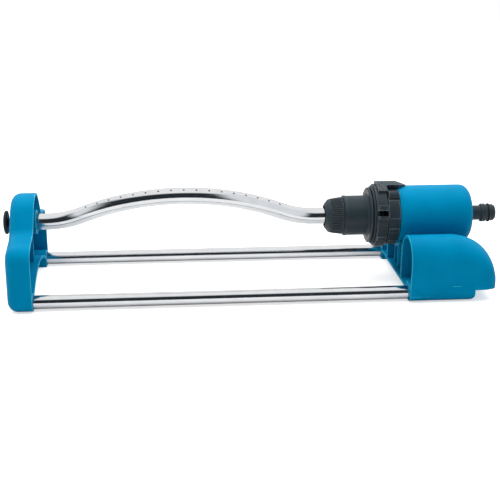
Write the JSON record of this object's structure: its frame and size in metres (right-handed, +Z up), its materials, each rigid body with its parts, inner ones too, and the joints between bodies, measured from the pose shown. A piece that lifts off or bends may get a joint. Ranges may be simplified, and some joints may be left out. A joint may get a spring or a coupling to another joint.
{
  "type": "oscillating lawn sprinkler",
  "caption": "Oscillating lawn sprinkler with an arched spray tube over long rails, a blue end bracket, a geared drive with range rings, and a hose spigot.",
  "frame": {"origin": "on the ground, under the middle of the object's box", "axes": "+X along the spray tube towards the hose spigot, +Y towards the rear foot, +Z up"},
  "size_m": [0.4832, 0.1502, 0.1018],
  "materials": {
    "blue_plastic": "satin moulded polypropylene, cyan blue",
    "dark_plastic": "satin slate grey",
    "black_plastic": "matte black",
    "black_rubber": "smooth rubber",
    "polished_aluminium": "polished, anodised",
    "steel": "bright stainless",
    "white_acetal": "natural acetal"
  },
  "bodies": {
    "base": {"end_bracket": "blue_plastic", "pivot_bush": "white_acetal", "front_rail": "polished_aluminium", "rear_rail": "polished_aluminium", "rail_screws": "steel", "motor_base": "blue_plastic", "motor_screws": "steel", "motor_cover": "blue_plastic", "gearbox_can": "dark_plastic", "front_bearing_cap": "dark_plastic", "cap_screws": "steel", "housing_o_ring": "black_rubber", "hub_seal": "black_rubber", "gear_plate": "white_acetal", "jet_plate": "white_acetal", "center_pin": "steel", "offset_pin": "steel", "inlet_spigot": "dark_plastic", "spigot_o_ring": "black_rubber", "inlet_filter": "steel"},
    "spray_arm": {"spray_tube": "polished_aluminium", "coupling_nut": "dark_plastic", "tube_seal": "black_rubber", "output_hub": "dark_plastic", "output_gear": "white_acetal"},
    "ring_front": {"ring_front": "dark_plastic"},
    "ring_rear": {"ring_rear": "dark_plastic"},
    "end_plug": {"end_plug": "black_plastic", "plug_o_ring": "black_rubber"},
    "trip": {"trip_shaft": "steel", "trip_lever": "white_acetal", "diverter_flap": "white_acetal", "toggle_spring": "steel"},
    "gear_3": {"gear_3": "white_acetal"},
    "gear_2": {"gear_2": "white_acetal"},
    "gear_1": {"gear_1": "white_acetal"},
    "turbine": {"turbine": "white_acetal"}
  },
  "joints": [
    {"name": "tube_swing", "type": "hinge", "parent": "base", "child": "spray_arm", "pos_m": [0.1, 0, 0.066], "axis": [1, 0, 0], "range_deg": [-81, 19]},
    {"name": "ring_front_turn", "type": "hinge", "parent": "spray_arm", "child": "ring_front", "pos_m": [0.123, 0, 0.066], "axis": [1, 0, 0], "range_deg": [-40, 0]},
    {"name": "ring_rear_turn", "type": "hinge", "parent": "spray_arm", "child": "ring_rear", "pos_m": [0.134, 0, 0.066], "axis": [1, 0, 0], "range_deg": [0, 40]},
    {"name": "end_plug_pull", "type": "slide", "parent": "spray_arm", "child": "end_plug", "axis": [-1, 0, 0], "range_m": [0, 0.03]},
    {"name": "trip_tilt", "type": "hinge", "parent": "base", "child": "trip", "pos_m": [0.165, 0, 0.082], "axis": [1, 0, 0], "range_deg": [0, 24], "deforming": ["toggle_spring"]},
    {"name": "gear_3_spin", "type": "hinge", "parent": "base", "child": "gear_3", "pos_m": [0.155, 0, 0.0528], "axis": [1, 0, 0], "range_deg": [-60, 246]},
    {"name": "gear_2_spin", "type": "hinge", "parent": "base", "child": "gear_2", "pos_m": [0.16, 0, 0.066], "axis": [1, 0, 0], "range_deg": [-735, 177]},
    {"name": "gear_1_spin", "type": "hinge", "parent": "base", "child": "gear_1", "pos_m": [0.165, 0, 0.0528], "axis": [1, 0, 0], "range_deg": [-520, 2194]},
    {"name": "turbine_spin", "type": "hinge", "parent": "base", "child": "turbine", "pos_m": [0.175, 0, 0.066], "axis": [1, 0, 0], "range_deg": [-6570, 1548]}
  ],
  "couplings": [
    {"joint": "gear_3_spin", "follows": "tube_swing", "ratio": -3},
    {"joint": "gear_2_spin", "follows": "tube_swing", "ratio": 9},
    {"joint": "gear_1_spin", "follows": "tube_swing", "ratio": -27},
    {"joint": "turbine_spin", "follows": "tube_swing", "ratio": 81}
  ]
}
